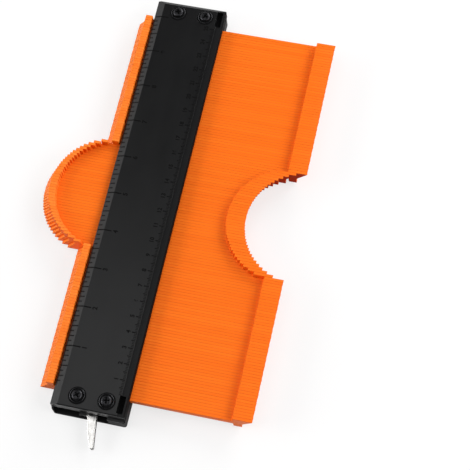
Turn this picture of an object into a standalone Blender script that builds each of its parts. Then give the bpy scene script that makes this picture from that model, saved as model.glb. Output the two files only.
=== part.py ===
"""Contour gauge: sliding plastic fins held between two body shells, with a cam lever that locks them.

X runs along the body towards the lever, Y runs along the fins, and Z points out of the face with the rulers.
The origin is the middle of the rear shell's flat underside. Sizes are metres, written as numbers times MM.
"""

import math

import bmesh
import bpy

MM = 0.001

# Clearances
RUNNING_GAP = 0.3 * MM
SEAT_GAP = 0.1 * MM
BLOCK_GAP = 0.15 * MM

# Body, seen on its ruler face
FAR_END_BLOCK = 11.6 * MM
NEAR_END_BLOCK = 13.7 * MM
BODY_WIDTH = 45.6 * MM
BODY_THICKNESS = 17 * MM
BODY_CORNER_RADIUS = 1.5 * MM
SIDE_WALL = 2.3 * MM
FLOOR = 1.5 * MM
TOP_WALL = 2.2 * MM
FRONT_SETBACK = 1.8 * MM
BEVEL_WIDTH = 4.9 * MM
BEVEL_DROP = 2.5 * MM
STEP_WIDTH = 4.3 * MM
STEP_DROP = 0.8 * MM
EDGE_CHAMFER = 0.5 * MM
FAR_BEVEL_WIDTH = 2.2 * MM
FAR_BEVEL_DROP = 1.6 * MM
NEAR_BEVEL = 0.6 * MM
FLANGE_CORNER_RADIUS = 2.2 * MM

# Fins
FIN_COUNT = 140
FIN_THICKNESS = 1.81 * MM
FINS_PER_BLOCK = 4
FIN_LENGTH = 132.2 * MM
FIN_REST_GAP = 1.1 * MM
WEB_HEIGHT = 5.4 * MM
TIP_HEIGHT = 15 * MM
LEFT_TIP_WIDTH = 10.7 * MM
LEFT_TIP_BEVEL = 6.3 * MM
RIGHT_TIP_WIDTH = 12.3 * MM
RIGHT_TIP_UNDERCUT = 7.1 * MM
TIP_SLOPE_HEIGHT = 9.1 * MM
TIP_ROOT_CHAMFER = 1 * MM
FIN_SLACK = 0.04 * MM
FIN_LAP = 0.03 * MM

# Slightly oval object copied by the fins, pressed in from the right
COPIED_RADIUS = 37 * MM
COPIED_FAR_RADIUS = 36 * MM
COPIED_DEPTH = 31 * MM
COPIED_CENTRE_X = -0.45 * MM

# Pads and clamp
PAD_WIDTH = 24 * MM
PAD_THICKNESS = 0.6 * MM
BAR_WIDTH = 12 * MM
BAR_THICKNESS = 0.8 * MM
BAR_CLEARANCE = 0.2 * MM
BAR_GUIDE_WIDTH = 1 * MM
WEDGE_COUNT = 8
WEDGE_HEIGHT = 0.9 * MM
WEDGE_LENGTH = 7.3 * MM
BAR_TRAVEL = 2.7 * MM
PRESS_GAP = 0.07 * MM
CLAMP_SIDE_GAP = 0.7 * MM
END_PLAY = 0.5 * MM

# Lever, cam and pivot at the near end
PIVOT_INSET = 3.4 * MM
PIVOT_Y = 1.6 * MM
PIVOT_RADIUS = 1.25 * MM
PIVOT_PIN_FLOOR = 0.8 * MM
PIVOT_PIN_LENGTH = 11.2 * MM
LEVER_THICKNESS = 4 * MM
LEVER_REACH = 22.1 * MM
LEVER_ROOT_WIDTH = 6 * MM
LEVER_BELLY_REACH = 14 * MM
LEVER_BELLY_WIDTH = 2.6 * MM
LEVER_NOSE_REACH = 18.8 * MM
LEVER_NOSE_WIDTH = 1.8 * MM
LEVER_BACK_REACH = 9.2 * MM
LEVER_BACK_WIDTH = 1.9 * MM
LEVER_TIP_RADIUS = 1.1 * MM
LEVER_TIP_Y = -0.2 * MM
LEVER_REST_ANGLE = math.radians(14)
CAM_BASE_RADIUS = 3.2 * MM
CAM_RISE = 3 * MM
CAM_NOSE_WIDTH = 0.9 * MM
CAM_NOSE_FLAT = 0.3 * MM
CAM_NOSE_TO_ARM = 0.9 * MM
CAM_SWING = math.radians(104)
SPACER_RADIUS = 2.6 * MM
TAB_THICKNESS = 0.8 * MM
TAB_WIDTH = 4 * MM
TAB_OVERLAP = 2.7 * MM
CAM_TO_TAB = 0.6 * MM

# Slot that the lever folds into
SLOT_FLOOR = 2 * MM
SLOT_TOP = 8.8 * MM
SLOT_LEFT = -21.3 * MM
SLOT_RIGHT = 12 * MM
SLOT_DEPTH = 6.8 * MM
SLOT_ROOF = 1 * MM
CAM_POCKET_LEFT = -4 * MM
CAM_POCKET_RIGHT = 5.2 * MM
CAM_POCKET_DEPTH = 11.8 * MM

# Return spring behind the far end of the bar
SPRING_LENGTH = 7.2 * MM
SPRING_RADIUS = 1.5 * MM
SPRING_WIRE_RADIUS = 0.25 * MM
SPRING_TURNS = 4
SPRING_POCKET_WIDTH = 5 * MM
SPRING_POCKET_HEIGHT = 3.8 * MM
SPRING_END_WALL = 1.1 * MM
SPRING_SEAT_HEIGHT = 3.2 * MM
SPRING_SEAT_WIDTH = 4 * MM

# Case screws and washers
SCREW_INSET_NEAR = 9.4 * MM
SCREW_INSET_FAR = 7.5 * MM
SCREW_MIDDLE_Y = 1.4 * MM
SCREW_SPACING = 18 * MM
SCREW_RADIUS = 1.2 * MM
SCREW_HEAD_RADIUS = 3.4 * MM
SCREW_HEAD_HEIGHT = 1.4 * MM
SCREW_CROWN_RADIUS = 2 * MM
SCREW_CROWN_DROP = 0.15 * MM
SCREW_SHOULDER_RADIUS = 3.1 * MM
SCREW_SHOULDER_DROP = 0.6 * MM
SCREW_HEAD_EDGE = 0.15 * MM
SCREW_POINT_Z = 2.5 * MM
SCREW_HOLE_RADIUS = 1.35 * MM
PHILLIPS_SPAN = 4.2 * MM
PHILLIPS_WIDTH = 0.8 * MM
PHILLIPS_DEPTH = 0.9 * MM
WASHER_RADIUS = 5.3 * MM
WASHER_THICKNESS = 1 * MM
WASHER_RIM = 0.3 * MM
WASHER_SEAT_DEPTH = 0.4 * MM

# Ribs inside the front shell and pockets at the ends of its step
BAY_COUNT = 8
RIB_WIDTH = 1.6 * MM
CORE_INSET = 2 * MM
STEP_POCKET_LENGTH = 10.8 * MM
STEP_POCKET_WIDTH = 3.7 * MM
STEP_POCKET_OVERLAP = 1 * MM
STEP_POCKET_DEPTH = 4 * MM
STEP_POCKET_INSET = 1.9 * MM

# Places worked out from the sizes above
STACK_LENGTH = FIN_COUNT * FIN_THICKNESS
CHANNEL_LENGTH = STACK_LENGTH + 2 * RUNNING_GAP
BODY_LENGTH = FAR_END_BLOCK + CHANNEL_LENGTH + NEAR_END_BLOCK
HALF_LENGTH = BODY_LENGTH / 2
HALF_WIDTH = BODY_WIDTH / 2
FRONT_END = HALF_LENGTH - FRONT_SETBACK
WEB_BOTTOM = (BODY_THICKNESS - WEB_HEIGHT) / 2
WEB_TOP = WEB_BOTTOM + WEB_HEIGHT
TIP_BOTTOM = (BODY_THICKNESS - TIP_HEIGHT) / 2
TIP_TOP = TIP_BOTTOM + TIP_HEIGHT
CHANNEL_FLOOR = WEB_BOTTOM - RUNNING_GAP
CHANNEL_ROOF = WEB_TOP + RUNNING_GAP
CHANNEL_FAR = -HALF_LENGTH + FAR_END_BLOCK
CHANNEL_NEAR = CHANNEL_FAR + CHANNEL_LENGTH
STACK_FAR = CHANNEL_FAR + RUNNING_GAP
LEFT_TIP_INNER = -HALF_WIDTH - FIN_REST_GAP
LEFT_TIP_OUTER = LEFT_TIP_INNER - LEFT_TIP_WIDTH
RIGHT_TIP_OUTER = LEFT_TIP_OUTER + FIN_LENGTH
RIGHT_TIP_INNER = RIGHT_TIP_OUTER - RIGHT_TIP_WIDTH
INNER_HALF_WIDTH = HALF_WIDTH - SIDE_WALL
PARTING = SLOT_TOP - RUNNING_GAP
CAVITY_ROOF = BODY_THICKNESS - TOP_WALL
PIVOT_X = HALF_LENGTH - PIVOT_INSET
BAR_BOTTOM = FLOOR + BAR_CLEARANCE
BAR_TOP = BAR_BOTTOM + BAR_THICKNESS
CLAMP_BOTTOM = BAR_TOP + BAR_CLEARANCE
CLAMP_LIFT = BAR_TRAVEL * WEDGE_HEIGHT / WEDGE_LENGTH
PAD_TOP = WEB_BOTTOM - CLAMP_LIFT - PRESS_GAP
CLAMP_TOP = PAD_TOP - PAD_THICKNESS - SEAT_GAP
WEDGE_PITCH = (CHANNEL_NEAR - CHANNEL_FAR) / WEDGE_COUNT
TAB_FACE = PIVOT_X - CAM_BASE_RADIUS - CAM_TO_TAB
SPACER_HEIGHT = (SLOT_TOP - SLOT_FLOOR - LEVER_THICKNESS) / 2 - SEAT_GAP
LEVER_BOTTOM = SLOT_FLOOR + SPACER_HEIGHT + SEAT_GAP
LEVER_TOP = LEVER_BOTTOM + LEVER_THICKNESS
SPRING_FAR = -HALF_LENGTH + SPRING_END_WALL + SEAT_GAP
SPRING_NEAR = SPRING_FAR + SPRING_LENGTH
BAR_FAR = SPRING_NEAR + SEAT_GAP


def clear_scene():
    for thing in list(bpy.data.objects):
        bpy.data.objects.remove(thing, do_unlink=True)


def material(name, colour, roughness, metallic=0.0):
    made = bpy.data.materials.new(name)
    made.use_nodes = True
    shader = made.node_tree.nodes["Principled BSDF"]
    shader.inputs["Base Color"].default_value = (*colour, 1.0)
    shader.inputs["Roughness"].default_value = roughness
    shader.inputs["Metallic"].default_value = metallic
    return made


def add_object(name, shape, look=None, smooth=False):
    """Turn a bmesh into a named object with outward normals."""
    bmesh.ops.recalc_face_normals(shape, faces=shape.faces)
    mesh = bpy.data.meshes.new(name)
    shape.to_mesh(mesh)
    shape.free()
    made = bpy.data.objects.new(name, mesh)
    bpy.context.scene.collection.objects.link(made)
    if look is not None:
        mesh.materials.append(look)
    if smooth:
        mesh.shade_smooth()
        mesh.set_sharp_from_angle(angle=math.radians(35))
    return made


def prism(outline, axis, low, high):
    """Extrude an outline of two coordinates along X, Y or Z, between two places on that axis."""
    places = {
        "X": lambda a, b: (low, a, b),
        "Y": lambda a, b: (a, low, b),
        "Z": lambda a, b: (a, b, low),
    }
    shape = bmesh.new()
    corners = [shape.verts.new(places[axis](a, b)) for a, b in outline]
    base = shape.faces.new(corners)
    moved = bmesh.ops.extrude_face_region(shape, geom=[base])["geom"]
    shift = [0.0, 0.0, 0.0]
    shift["XYZ".index(axis)] = high - low
    lifted = [part for part in moved if isinstance(part, bmesh.types.BMVert)]
    bmesh.ops.translate(shape, verts=lifted, vec=shift)
    return shape


def box(x_low, x_high, y_low, y_high, z_low, z_high):
    outline = [(x_low, y_low), (x_high, y_low), (x_high, y_high), (x_low, y_high)]
    return prism(outline, "Z", z_low, z_high)


def arc(x, y, radius, start, end, steps):
    """Points along a round stretch, with both ends."""
    points = []
    for step in range(steps + 1):
        angle = start + (end - start) * step / steps
        points.append((x + radius * math.cos(angle), y + radius * math.sin(angle)))
    return points


def disc(x, y, radius, z_low, z_high, sides=24):
    outline = arc(x, y, radius, 0, 2 * math.pi, sides)[:-1]
    return prism(outline, "Z", z_low, z_high)


def turned(profile, x, y, sides=24):
    """Spin a profile of radius and height once round an upright axis at x, y."""
    shape = bmesh.new()
    corners = [shape.verts.new((radius, 0, z)) for radius, z in profile]
    edges = [shape.edges.new(pair) for pair in zip(corners, corners[1:])]
    bmesh.ops.spin(
        shape, geom=corners + edges, cent=(0, 0, 0), axis=(0, 0, 1), angle=2 * math.pi, steps=sides
    )
    bmesh.ops.remove_doubles(shape, verts=shape.verts, dist=0.001 * MM)
    bmesh.ops.translate(shape, verts=shape.verts, vec=(x, y, 0))
    return shape


def combine(target, shapes, operation):
    """Join shapes to an object, or cut them from it, one exact Boolean at a time."""
    for shape in shapes:
        tool = add_object("tool", shape)
        change = target.modifiers.new("change", "BOOLEAN")
        change.object = tool
        change.operation = operation
        change.solver = "EXACT"
        bpy.context.view_layer.update()
        seen = target.evaluated_get(bpy.context.evaluated_depsgraph_get())
        fresh = bpy.data.meshes.new_from_object(seen)
        target.modifiers.remove(change)
        target.data = fresh
        bpy.data.objects.remove(tool, do_unlink=True)


def smooth_rounds(thing):
    thing.data.shade_smooth()
    thing.data.set_sharp_from_angle(angle=math.radians(35))


def rounded_plan(x_low, x_high, half_width, radius):
    """Outline of the body seen from above, with four round corners."""
    quarter = math.pi / 2
    steps = 4
    points = arc(x_high - radius, half_width - radius, radius, 0, quarter, steps)
    points += arc(x_low + radius, half_width - radius, radius, quarter, 2 * quarter, steps)
    points += arc(x_low + radius, -half_width + radius, radius, 2 * quarter, 3 * quarter, steps)
    points += arc(x_high - radius, -half_width + radius, radius, 3 * quarter, 4 * quarter, steps)
    return points


def screw_places():
    ends = (-HALF_LENGTH + SCREW_INSET_FAR, HALF_LENGTH - SCREW_INSET_NEAR)
    sides = (SCREW_MIDDLE_Y - SCREW_SPACING / 2, SCREW_MIDDLE_Y + SCREW_SPACING / 2)
    return [(x, y) for x in ends for y in sides]


def front_outline():
    """Cross-section of the front shell: ruler bevel on the left, sunk step on the right."""
    step_edge = HALF_WIDTH - STEP_WIDTH
    step_top = BODY_THICKNESS - STEP_DROP
    return [
        (-HALF_WIDTH, CHANNEL_ROOF),
        (HALF_WIDTH, CHANNEL_ROOF),
        (HALF_WIDTH, step_top - EDGE_CHAMFER),
        (HALF_WIDTH - EDGE_CHAMFER, step_top),
        (step_edge, step_top),
        (step_edge, BODY_THICKNESS),
        (-HALF_WIDTH + BEVEL_WIDTH, BODY_THICKNESS),
        (-HALF_WIDTH, BODY_THICKNESS - BEVEL_DROP),
    ]


def bay_edges():
    """Start and end of each bay between the cross ribs."""
    first = CHANNEL_FAR + CORE_INSET
    pitch = (CHANNEL_NEAR - CORE_INSET - first + RIB_WIDTH) / BAY_COUNT
    return [(first + pitch * bay, first + pitch * (bay + 1) - RIB_WIDTH) for bay in range(BAY_COUNT)]


def front_cores():
    """Hollows moulded into the underside: three rows of bays and the seat of the front pad."""
    half_pad = PAD_WIDTH / 2 + SEAT_GAP
    pad_seat = CHANNEL_ROOF + PAD_THICKNESS + SEAT_GAP
    below = CHANNEL_ROOF - CORE_INSET
    cores = [box(CHANNEL_FAR, CHANNEL_NEAR, -half_pad, half_pad, below, pad_seat)]
    land = half_pad + RIB_WIDTH
    middle = half_pad - CORE_INSET
    rows = ((-INNER_HALF_WIDTH, -land), (-middle, middle), (land, INNER_HALF_WIDTH))
    for x_low, x_high in bay_edges():
        for y_low, y_high in rows:
            cores.append(box(x_low, x_high, y_low, y_high, below, CAVITY_ROOF))
    return cores


def step_pockets():
    """The deep pocket at each end of the step along the right edge."""
    y_low = HALF_WIDTH - STEP_WIDTH - STEP_POCKET_OVERLAP
    y_high = y_low + STEP_POCKET_WIDTH
    z_low = BODY_THICKNESS - STEP_POCKET_DEPTH
    near = FRONT_END - STEP_POCKET_INSET
    far = -HALF_LENGTH + STEP_POCKET_INSET
    return [
        box(near - STEP_POCKET_LENGTH, near, y_low, y_high, z_low, BODY_THICKNESS),
        box(far, far + STEP_POCKET_LENGTH, y_low, y_high, z_low, BODY_THICKNESS),
    ]


def end_bevels():
    """Wedges that slope the top down at both ends, so that it meets the ruler bevel at a mitre."""
    spare = CORE_INSET
    far = -HALF_LENGTH
    above = BODY_THICKNESS + spare
    far_side = [
        (far - spare, BODY_THICKNESS - FAR_BEVEL_DROP * (1 + spare / FAR_BEVEL_WIDTH)),
        (far + FAR_BEVEL_WIDTH, BODY_THICKNESS),
        (far + FAR_BEVEL_WIDTH, above),
        (far - spare, above),
    ]
    near_side = [
        (FRONT_END + spare, BODY_THICKNESS - NEAR_BEVEL - spare),
        (FRONT_END + spare, above),
        (FRONT_END - NEAR_BEVEL, above),
        (FRONT_END - NEAR_BEVEL, BODY_THICKNESS),
    ]
    reach = HALF_WIDTH + spare
    return [prism(far_side, "Y", -reach, reach), prism(near_side, "Y", -reach, reach)]


def make_front_shell(look):
    shell = add_object("front_shell", prism(front_outline(), "X", -HALF_LENGTH, FRONT_END), look)
    combine(shell, end_bevels(), "DIFFERENCE")
    overlap = CHANNEL_ROOF + RUNNING_GAP
    near_foot = box(CHANNEL_NEAR, FRONT_END, -HALF_WIDTH, HALF_WIDTH, SLOT_TOP, overlap)
    far_foot = box(-HALF_LENGTH, CHANNEL_FAR, -HALF_WIDTH, HALF_WIDTH, SLOT_TOP, overlap)
    flange = rounded_plan(CHANNEL_NEAR, HALF_LENGTH, HALF_WIDTH, FLANGE_CORNER_RADIUS)
    roof = prism(flange, "Z", SLOT_TOP, SLOT_TOP + SLOT_ROOF)
    seat = BODY_THICKNESS - WASHER_SEAT_DEPTH
    bosses = [disc(x, y, WASHER_RADIUS, CHANNEL_ROOF + SLOT_ROOF, seat, 32) for x, y in screw_places()]
    spacer_bottom = LEVER_TOP + SEAT_GAP
    spacer = disc(PIVOT_X, PIVOT_Y, SPACER_RADIUS, spacer_bottom, SLOT_TOP + RUNNING_GAP)
    combine(shell, [near_foot, far_foot, roof, spacer] + bosses, "UNION")
    cuts = front_cores() + step_pockets()
    roof_top = SLOT_TOP + SLOT_ROOF + SEAT_GAP
    cuts.append(box(FRONT_END, HALF_LENGTH + CORE_INSET, SLOT_LEFT, SLOT_RIGHT, SLOT_TOP, roof_top))
    pin_top = PIVOT_PIN_FLOOR + PIVOT_PIN_LENGTH
    cuts.append(disc(PIVOT_X, PIVOT_Y, PIVOT_RADIUS + SEAT_GAP, 0, pin_top + SEAT_GAP))
    for x, y in screw_places():
        cuts.append(disc(x, y, SCREW_HOLE_RADIUS, 0, BODY_THICKNESS + CORE_INSET))
        cuts.append(disc(x, y, WASHER_RADIUS + SEAT_GAP, seat, BODY_THICKNESS + CORE_INSET, 32))
    combine(shell, cuts, "DIFFERENCE")
    return shell


def slot_cuts():
    """The lever's slot across the near end, and the deeper pocket that the cam turns in."""
    above = PARTING + CORE_INSET
    outside = HALF_LENGTH + CORE_INSET
    slot = box(HALF_LENGTH - SLOT_DEPTH, outside, SLOT_LEFT, SLOT_RIGHT, SLOT_FLOOR, above)
    back = HALF_LENGTH - CAM_POCKET_DEPTH
    front = HALF_LENGTH - SLOT_DEPTH + RUNNING_GAP
    pocket = box(back, front, CAM_POCKET_LEFT, CAM_POCKET_RIGHT, FLOOR, above)
    half_bar = BAR_WIDTH / 2 + RUNNING_GAP
    roof = CLAMP_BOTTOM
    passage = box(CHANNEL_NEAR - END_PLAY, back + END_PLAY, -half_bar, half_bar, FLOOR, roof)
    return [slot, pocket, passage]


def spring_pocket():
    """The passage for the bar's far end and the pocket that holds its spring."""
    half = SPRING_POCKET_WIDTH / 2
    start = SPRING_FAR - SEAT_GAP
    return box(start, CHANNEL_FAR + END_PLAY, -half, half, FLOOR, FLOOR + SPRING_POCKET_HEIGHT)


def make_rear_shell(look):
    outline = rounded_plan(-HALF_LENGTH, HALF_LENGTH, HALF_WIDTH, BODY_CORNER_RADIUS)
    shell = add_object("rear_shell", prism(outline, "Z", 0, PARTING), look)
    outside = HALF_WIDTH + CORE_INSET
    above = PARTING + CORE_INSET
    channel = box(CHANNEL_FAR, CHANNEL_NEAR, -outside, outside, CHANNEL_FLOOR, above)
    cavity = box(CHANNEL_FAR, CHANNEL_NEAR, -INNER_HALF_WIDTH, INNER_HALF_WIDTH, FLOOR, above)
    combine(shell, [channel, cavity] + slot_cuts() + [spring_pocket()], "DIFFERENCE")
    inner = BAR_WIDTH / 2 + RUNNING_GAP
    guides = []
    for y_low in (inner, -inner - BAR_GUIDE_WIDTH):
        y_high = y_low + BAR_GUIDE_WIDTH
        guides.append(box(CHANNEL_FAR, CHANNEL_NEAR, y_low, y_high, FLOOR - SEAT_GAP, BAR_TOP))
    spacer_top = SLOT_FLOOR + SPACER_HEIGHT
    spacer = disc(PIVOT_X, PIVOT_Y, SPACER_RADIUS, SLOT_FLOOR - RUNNING_GAP, spacer_top)
    combine(shell, guides + [spacer], "UNION")
    holes = [disc(PIVOT_X, PIVOT_Y, PIVOT_RADIUS + SEAT_GAP, PIVOT_PIN_FLOOR - SEAT_GAP, above)]
    for x, y in screw_places():
        holes.append(disc(x, y, SCREW_HOLE_RADIUS, SCREW_POINT_Z - RUNNING_GAP, above))
    combine(shell, holes, "DIFFERENCE")
    return shell


def make_pads(look):
    half = PAD_WIDTH / 2
    roof = CHANNEL_ROOF + PAD_THICKNESS
    far = CHANNEL_FAR + SEAT_GAP
    near = CHANNEL_NEAR - SEAT_GAP
    front = add_object("front_pad", box(far, near, -half, half, CHANNEL_ROOF, roof), look)
    start = CLAMP_TOP + SEAT_GAP
    clamp = add_object("clamp_pad", box(far + END_PLAY, near - END_PLAY, -half, half, start, PAD_TOP), look)
    return front, clamp


def wedge_starts():
    """Where each wedge begins to rise, from the far end to the near end."""
    first = CHANNEL_FAR + (WEDGE_PITCH - WEDGE_LENGTH) / 2
    return [first + WEDGE_PITCH * number for number in range(WEDGE_COUNT)]


def make_clamp_plate(look):
    """A flat plate whose underside has a notch over each wedge of the bar."""
    far = CHANNEL_FAR + END_PLAY
    near = CHANNEL_NEAR - END_PLAY
    outline = [(far, CLAMP_TOP), (far, CLAMP_BOTTOM)]
    for start in wedge_starts():
        end = start + WEDGE_LENGTH + BAR_CLEARANCE
        outline += [(start, CLAMP_BOTTOM), (end, CLAMP_BOTTOM + WEDGE_HEIGHT), (end, CLAMP_BOTTOM)]
    outline += [(near, CLAMP_BOTTOM), (near, CLAMP_TOP)]
    half = INNER_HALF_WIDTH - CLAMP_SIDE_GAP
    return add_object("clamp_plate", prism(outline, "Y", -half, half), look)


def make_lock_bar(look):
    """A metal strip with wedges on top, a tab for the cam at one end and one for the spring at the other."""
    outline = [(BAR_FAR, BAR_BOTTOM), (TAB_FACE, BAR_BOTTOM), (TAB_FACE, BAR_TOP)]
    for start in reversed(wedge_starts()):
        end = start + WEDGE_LENGTH
        outline += [(end, BAR_TOP), (end, BAR_TOP + WEDGE_HEIGHT), (start, BAR_TOP)]
    outline.append((BAR_FAR, BAR_TOP))
    half = BAR_WIDTH / 2
    bar = add_object("lock_bar", prism(outline, "Y", -half, half), look)
    neck = SPRING_SEAT_WIDTH / 2
    outside = half + CORE_INSET
    wide_end = CHANNEL_FAR + END_PLAY + BAR_TRAVEL
    trims = [
        box(BAR_FAR - SEAT_GAP, wide_end, neck, outside, 0, BODY_THICKNESS),
        box(BAR_FAR - SEAT_GAP, wide_end, -outside, -neck, 0, BODY_THICKNESS),
    ]
    tab_half = TAB_WIDTH / 2
    back = HALF_LENGTH - CAM_POCKET_DEPTH + RUNNING_GAP
    end = TAB_FACE + SEAT_GAP
    trims.append(box(back, end, -outside, CAM_POCKET_LEFT + RUNNING_GAP, 0, BODY_THICKNESS))
    trims.append(box(back, end, CAM_POCKET_RIGHT - RUNNING_GAP, outside, 0, BODY_THICKNESS))
    combine(bar, trims, "DIFFERENCE")
    tab_top = LEVER_BOTTOM + TAB_OVERLAP
    tab_back = TAB_FACE - TAB_THICKNESS
    tab = box(tab_back, TAB_FACE, PIVOT_Y - tab_half, PIVOT_Y + tab_half, BAR_TOP - SEAT_GAP, tab_top)
    seat_top = BAR_BOTTOM + SPRING_SEAT_HEIGHT
    seat = box(BAR_FAR, BAR_FAR + TAB_THICKNESS, -neck, neck, BAR_TOP - SEAT_GAP, seat_top)
    combine(bar, [tab, seat], "UNION")
    return bar


def make_return_spring(look):
    """A coil of wire along X, swept ring by ring, with flat ends."""
    ring_sides = 6
    per_turn = 12
    steps = SPRING_TURNS * per_turn
    run = SPRING_LENGTH - 2 * SPRING_WIRE_RADIUS
    centre_z = FLOOR + BAR_CLEARANCE + SPRING_WIRE_RADIUS + SPRING_RADIUS
    shape = bmesh.new()
    rings = []
    for step in range(steps + 1):
        turn = 2 * math.pi * step / per_turn
        x = SPRING_FAR + SPRING_WIRE_RADIUS + run * step / steps
        ring = []
        for side in range(ring_sides):
            angle = 2 * math.pi * side / ring_sides
            out = SPRING_RADIUS + SPRING_WIRE_RADIUS * math.cos(angle)
            place = (
                x + SPRING_WIRE_RADIUS * math.sin(angle),
                out * math.cos(turn),
                centre_z + out * math.sin(turn),
            )
            ring.append(shape.verts.new(place))
        rings.append(ring)
    for ring, following in zip(rings, rings[1:]):
        for side in range(ring_sides):
            after = (side + 1) % ring_sides
            shape.faces.new((ring[side], ring[after], following[after], following[side]))
    shape.faces.new(rings[0])
    shape.faces.new(rings[-1])
    return add_object("return_spring", shape, look, smooth=True)


def cam_radius(angle):
    """Radius of the hub at an angle from the arm: it grows evenly over the swing, then ends in a nose."""
    start = math.pi - LEVER_REST_ANGLE
    share = min(max((angle - start) / CAM_SWING, 0.0), 1.0)
    return CAM_BASE_RADIUS + CAM_RISE * share


def lever_outline():
    """Hub and cam, then an arm with a fuller left side. The arm runs along X and the pivot is at zero."""
    cam_end = math.pi - LEVER_REST_ANGLE + CAM_SWING
    first = math.radians(75)
    steps = 22
    points = []
    for step in range(steps + 1):
        angle = first + (cam_end - first) * step / steps
        radius = cam_radius(angle)
        points.append((radius * math.cos(angle), radius * math.sin(angle)))
    points.append((CAM_NOSE_WIDTH, -CAM_BASE_RADIUS - CAM_RISE + CAM_NOSE_FLAT))
    points.append((CAM_NOSE_WIDTH + CAM_NOSE_TO_ARM, -LEVER_ROOT_WIDTH / 2))
    points.append((LEVER_BELLY_REACH, -LEVER_BELLY_WIDTH))
    points.append((LEVER_NOSE_REACH, -LEVER_NOSE_WIDTH))
    tip_x = LEVER_REACH - LEVER_TIP_RADIUS
    points += arc(tip_x, LEVER_TIP_Y, LEVER_TIP_RADIUS, -math.pi / 2, math.pi / 2, 6)
    points.append((LEVER_BACK_REACH, LEVER_BACK_WIDTH))
    return points


def make_lever(look):
    shape = prism(lever_outline(), "Z", LEVER_BOTTOM, LEVER_TOP)
    lever = add_object("lock_lever", shape, look)
    hole = disc(0, 0, PIVOT_RADIUS + SEAT_GAP, LEVER_BOTTOM - CORE_INSET, LEVER_TOP + CORE_INSET)
    combine(lever, [hole], "DIFFERENCE")
    smooth_rounds(lever)
    lever.location = (PIVOT_X, PIVOT_Y, 0)
    lever.rotation_euler = (0, 0, LEVER_REST_ANGLE)
    return lever


def make_pivot_pin(look):
    pin_top = PIVOT_PIN_FLOOR + PIVOT_PIN_LENGTH
    shape = disc(PIVOT_X, PIVOT_Y, PIVOT_RADIUS, PIVOT_PIN_FLOOR, pin_top)
    return add_object("lever_pivot_pin", shape, look, smooth=True)


def make_washer(number, x, y, look):
    seat = BODY_THICKNESS - WASHER_SEAT_DEPTH + SEAT_GAP
    top = seat + WASHER_THICKNESS
    hole = SCREW_RADIUS + SEAT_GAP
    profile = [
        (hole, top),
        (WASHER_RADIUS - WASHER_RIM, top),
        (WASHER_RADIUS, top - WASHER_RIM),
        (WASHER_RADIUS, seat),
        (hole, seat),
        (hole, top),
    ]
    return add_object(f"screw_washer_{number}", turned(profile, x, y), look, smooth=True)


def make_screw(number, x, y, look):
    """A pan-head screw with a cross recess."""
    under = BODY_THICKNESS - WASHER_SEAT_DEPTH + WASHER_THICKNESS + 2 * SEAT_GAP
    top = under + SCREW_HEAD_HEIGHT
    profile = [
        (0, top),
        (SCREW_CROWN_RADIUS, top - SCREW_CROWN_DROP),
        (SCREW_SHOULDER_RADIUS, top - SCREW_SHOULDER_DROP),
        (SCREW_HEAD_RADIUS, under + SCREW_HEAD_EDGE),
        (SCREW_HEAD_RADIUS, under),
        (SCREW_RADIUS, under),
        (SCREW_RADIUS, SCREW_POINT_Z + SCREW_RADIUS),
        (0, SCREW_POINT_Z),
    ]
    screw = add_object(f"case_screw_{number}", turned(profile, x, y, 20), look)
    span = PHILLIPS_SPAN / 2
    half = PHILLIPS_WIDTH / 2
    bottom = top - PHILLIPS_DEPTH
    above = top + PHILLIPS_DEPTH
    cuts = [
        box(x - span, x + span, y - half, y + half, bottom, above),
        box(x - half, x + half, y - span, y + span, bottom, above),
    ]
    combine(screw, cuts, "DIFFERENCE")
    smooth_rounds(screw)
    return screw


def fin_outline(offset):
    """Side view of one fin, pushed to the left by an offset.

    A thin web joins two thick tips. The left tip reaches furthest at its foot and the right tip at its top.
    """
    left_outer = LEFT_TIP_OUTER - offset
    left_inner = LEFT_TIP_INNER - offset
    right_inner = RIGHT_TIP_INNER - offset
    right_outer = RIGHT_TIP_OUTER - offset
    left_step = left_outer + LEFT_TIP_BEVEL
    right_step = right_outer - RIGHT_TIP_UNDERCUT
    return [
        (left_step, TIP_TOP),
        (left_step, TIP_BOTTOM + TIP_SLOPE_HEIGHT),
        (left_outer, TIP_BOTTOM),
        (left_inner, TIP_BOTTOM),
        (left_inner, WEB_BOTTOM),
        (right_inner, WEB_BOTTOM),
        (right_inner, TIP_BOTTOM),
        (right_step, TIP_BOTTOM),
        (right_step, TIP_TOP - TIP_SLOPE_HEIGHT),
        (right_outer, TIP_TOP),
        (right_inner, TIP_TOP),
        (right_inner, WEB_TOP + TIP_ROOT_CHAMFER),
        (right_inner - TIP_ROOT_CHAMFER, WEB_TOP),
        (left_inner, WEB_TOP),
        (left_inner, TIP_TOP),
    ]


def fin_edge(fin):
    """Where a fin begins along the stack, and the fin before it ends."""
    return STACK_FAR + fin * FIN_THICKNESS


def copied_offset(fin):
    """How far the pressed-in object and the fin's own slack have moved a fin to the left."""
    middle = STACK_FAR + (fin + 0.5) * FIN_THICKNESS - COPIED_CENTRE_X
    slack = FIN_SLACK * (7 * fin % 5)
    radius = COPIED_FAR_RADIUS if middle < 0 else COPIED_RADIUS
    pressed = 0.0
    if abs(middle) < radius:
        pressed = max(0.0, math.sqrt(radius**2 - middle**2) - (radius - COPIED_DEPTH))
    return pressed + slack


def make_fin_block(block, look):
    """Neighbouring fins fused face to face, each at its own offset."""
    first = block * FINS_PER_BLOCK
    fins = []
    for fin in range(first, first + FINS_PER_BLOCK):
        x_low = fin_edge(fin) if fin == first else fin_edge(fin) - FIN_LAP
        x_high = fin_edge(fin + 1)
        if fin == first + FINS_PER_BLOCK - 1:
            x_high -= BLOCK_GAP
        fins.append(prism(fin_outline(copied_offset(fin)), "X", x_low, x_high))
    made = add_object(f"fin_block_{block + 1:02d}", fins[0], look)
    combine(made, fins[1:], "UNION")
    return made


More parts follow.
